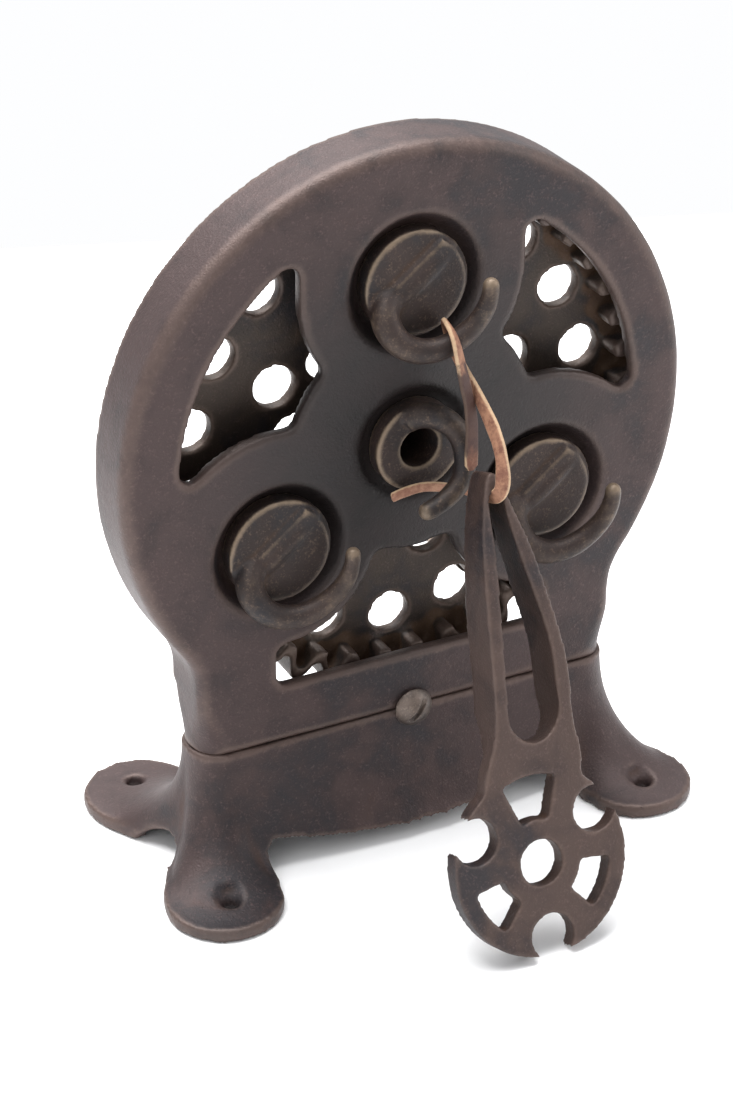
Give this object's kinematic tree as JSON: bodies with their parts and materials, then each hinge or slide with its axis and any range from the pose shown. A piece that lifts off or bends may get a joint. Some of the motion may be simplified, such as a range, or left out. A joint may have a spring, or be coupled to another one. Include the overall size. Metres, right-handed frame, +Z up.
{
  "type": "rope making machine",
  "caption": "Cranked cast-iron rope maker: a ring gear turns three strand hooks round a centre hook, with a notched strand separator on a leather lace.",
  "frame": {"origin": "middle of the four foot screws, on the table", "axes": "+Z up, -Y towards the hooks, out of the front face, +X to the right seen from the front"},
  "size_m": [0.208, 0.2295, 0.253],
  "materials": {
    "cast_iron": "old dark brown-black paint and patina on rough sand casting, rust in the corners",
    "separator_iron": "bare cast iron, brown with handling",
    "gear_iron": "dark oiled cast iron",
    "hook_iron": "dark iron, worn brown on the ridges",
    "steel": "darkened steel",
    "wood": "worn turned hardwood",
    "leather": "stiff old leather lace"
  },
  "bodies": {
    "frame": {"head": "cast_iron", "base": "cast_iron", "seam_screw_front": "steel", "seam_screw_rear": "steel"},
    "drive": {"centre_hook": "hook_iron", "drive_gear": "gear_iron", "gear_pin": "steel", "crank_arm": "hook_iron", "grip_spindle": "steel", "grip_washer": "steel", "lace_tail": "leather"},
    "crank_grip": {"grip": "wood"},
    "lace_loop": {"lace": "leather"},
    "strand_separator": {"separator": "separator_iron"},
    "top_hook": {"hook_top": "hook_iron", "pinion_top": "gear_iron", "pinion_key_top": "steel"},
    "right_hook": {"hook_right": "hook_iron", "pinion_right": "gear_iron", "pinion_key_right": "steel"},
    "left_hook": {"hook_left": "hook_iron", "pinion_left": "gear_iron", "pinion_key_left": "steel"}
  },
  "joints": [
    {"name": "crank_turn", "type": "hinge", "parent": "frame", "child": "drive", "pos_m": [0, -0.0056, 0.149], "axis": [0, 1, 0], "continuous": true},
    {"name": "grip_spin", "type": "hinge", "parent": "drive", "child": "crank_grip", "pos_m": [0.05033, 0.0624, 0.07439], "axis": [0, 1, 0], "continuous": true},
    {"name": "top_hook_turn", "type": "hinge", "parent": "frame", "child": "top_hook", "pos_m": [0, -0.0076, 0.206], "axis": [0, 1, 0], "continuous": true},
    {"name": "right_hook_turn", "type": "hinge", "parent": "frame", "child": "right_hook", "pos_m": [0.04936, -0.0076, 0.1205], "axis": [0, 1, 0], "continuous": true},
    {"name": "left_hook_turn", "type": "hinge", "parent": "frame", "child": "left_hook", "pos_m": [-0.04936, -0.0076, 0.1205], "axis": [0, 1, 0], "continuous": true},
    {"name": "lace_hang", "type": "hinge", "parent": "top_hook", "child": "lace_loop", "pos_m": [0.0057, -0.0296, 0.1925], "axis": [0, 1, 0], "continuous": true},
    {"name": "separator_swing", "type": "hinge", "parent": "lace_loop", "child": "strand_separator", "pos_m": [0.0089, -0.0513, 0.1436], "axis": [-1, 0, 0], "range_deg": [0, 50], "deforming": ["lace"]}
  ],
  "couplings": [
    {"joint": "top_hook_turn", "follows": "crank_turn", "ratio": 3},
    {"joint": "right_hook_turn", "follows": "crank_turn", "ratio": 3},
    {"joint": "left_hook_turn", "follows": "crank_turn", "ratio": 3},
    {"joint": "lace_hang", "follows": "crank_turn", "ratio": -3}
  ]
}
